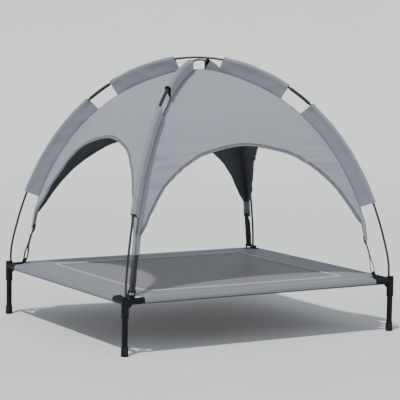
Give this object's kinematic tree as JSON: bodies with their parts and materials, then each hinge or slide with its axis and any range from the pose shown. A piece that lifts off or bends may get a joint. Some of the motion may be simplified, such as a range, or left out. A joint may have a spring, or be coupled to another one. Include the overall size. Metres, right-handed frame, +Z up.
{
  "type": "raised dog bed with canopy",
  "caption": "Raised mesh-sling dog bed on a tube frame with short legs, under a domed fabric canopy held up by two crossed bent poles.",
  "frame": {"origin": "on the ground, at the middle of the bed's footprint", "axes": "+Z up; +X along the bed's long side, to the right; +Y from the front to the back"},
  "size_m": [0.9212, 0.7892, 0.8124],
  "materials": {
    "foot_rubber": "black rubber foot caps, matt",
    "frame_steel": "black powder coat on steel tube, satin",
    "connector_nylon": "black moulded nylon, satin with a fine grain",
    "sling_mesh": "grey coated mesh fabric, fine open weave with pale seams",
    "canopy_cloth": "grey woven polyester, near-black coating inside",
    "pole_fibreglass": "black wrapped fibreglass rod, semi-gloss",
    "ferrule_metal": "dark blackened metal sleeve, semi-gloss",
    "strap_webbing": "black elastic webbing, matt"
  },
  "bodies": {
    "bed_frame": {"foot_cap_front_left": "foot_rubber", "foot_cap_front_right": "foot_rubber", "foot_cap_back_left": "foot_rubber", "foot_cap_back_right": "foot_rubber", "leg_tube_front_left": "frame_steel", "leg_tube_front_right": "frame_steel", "leg_tube_back_left": "frame_steel", "leg_tube_back_right": "frame_steel", "connector_front_left": "connector_nylon", "connector_front_right": "connector_nylon", "connector_back_left": "connector_nylon", "connector_back_right": "connector_nylon", "frame_tube_front": "frame_steel", "frame_tube_back": "frame_steel", "frame_tube_left": "frame_steel", "frame_tube_right": "frame_steel", "sling_fabric": "sling_mesh", "strap_hook_front_left": "connector_nylon", "strap_hook_front_right": "connector_nylon", "strap_hook_back_left": "connector_nylon", "strap_hook_back_right": "connector_nylon"},
    "canopy": {"pole_a_rod_front_right": "pole_fibreglass", "pole_a_rod_middle": "pole_fibreglass", "pole_a_rod_back_left": "pole_fibreglass", "pole_b_rod_front_left": "pole_fibreglass", "pole_b_rod_middle": "pole_fibreglass", "pole_b_rod_back_right": "pole_fibreglass", "pole_a_ferrule_front_right": "ferrule_metal", "pole_a_ferrule_back_left": "ferrule_metal", "pole_b_ferrule_front_left": "ferrule_metal", "pole_b_ferrule_back_right": "ferrule_metal", "canopy_panel_front": "canopy_cloth", "canopy_panel_back": "canopy_cloth", "canopy_panel_left": "canopy_cloth", "canopy_panel_right": "canopy_cloth", "pole_sleeve_upper_front_left": "canopy_cloth", "pole_sleeve_upper_front_right": "canopy_cloth", "pole_sleeve_upper_back_left": "canopy_cloth", "pole_sleeve_upper_back_right": "canopy_cloth", "pole_sleeve_lower_front_left": "canopy_cloth", "pole_sleeve_lower_front_right": "canopy_cloth", "pole_sleeve_lower_back_left": "canopy_cloth", "pole_sleeve_lower_back_right": "canopy_cloth", "corner_tab_front_left": "canopy_cloth", "corner_tab_front_right": "canopy_cloth", "corner_tab_back_left": "canopy_cloth", "corner_tab_back_right": "canopy_cloth", "elastic_strap_front_left": "strap_webbing", "elastic_strap_front_right": "strap_webbing", "elastic_strap_back_left": "strap_webbing", "elastic_strap_back_right": "strap_webbing"}
  },
  "joints": [
    {"name": "canopy_lift", "type": "slide", "parent": "bed_frame", "child": "canopy", "axis": [0, 0, 1], "range_m": [0, 0.045], "deforming": ["elastic_strap_front_left", "elastic_strap_front_right", "elastic_strap_back_left", "elastic_strap_back_right"]}
  ]
}
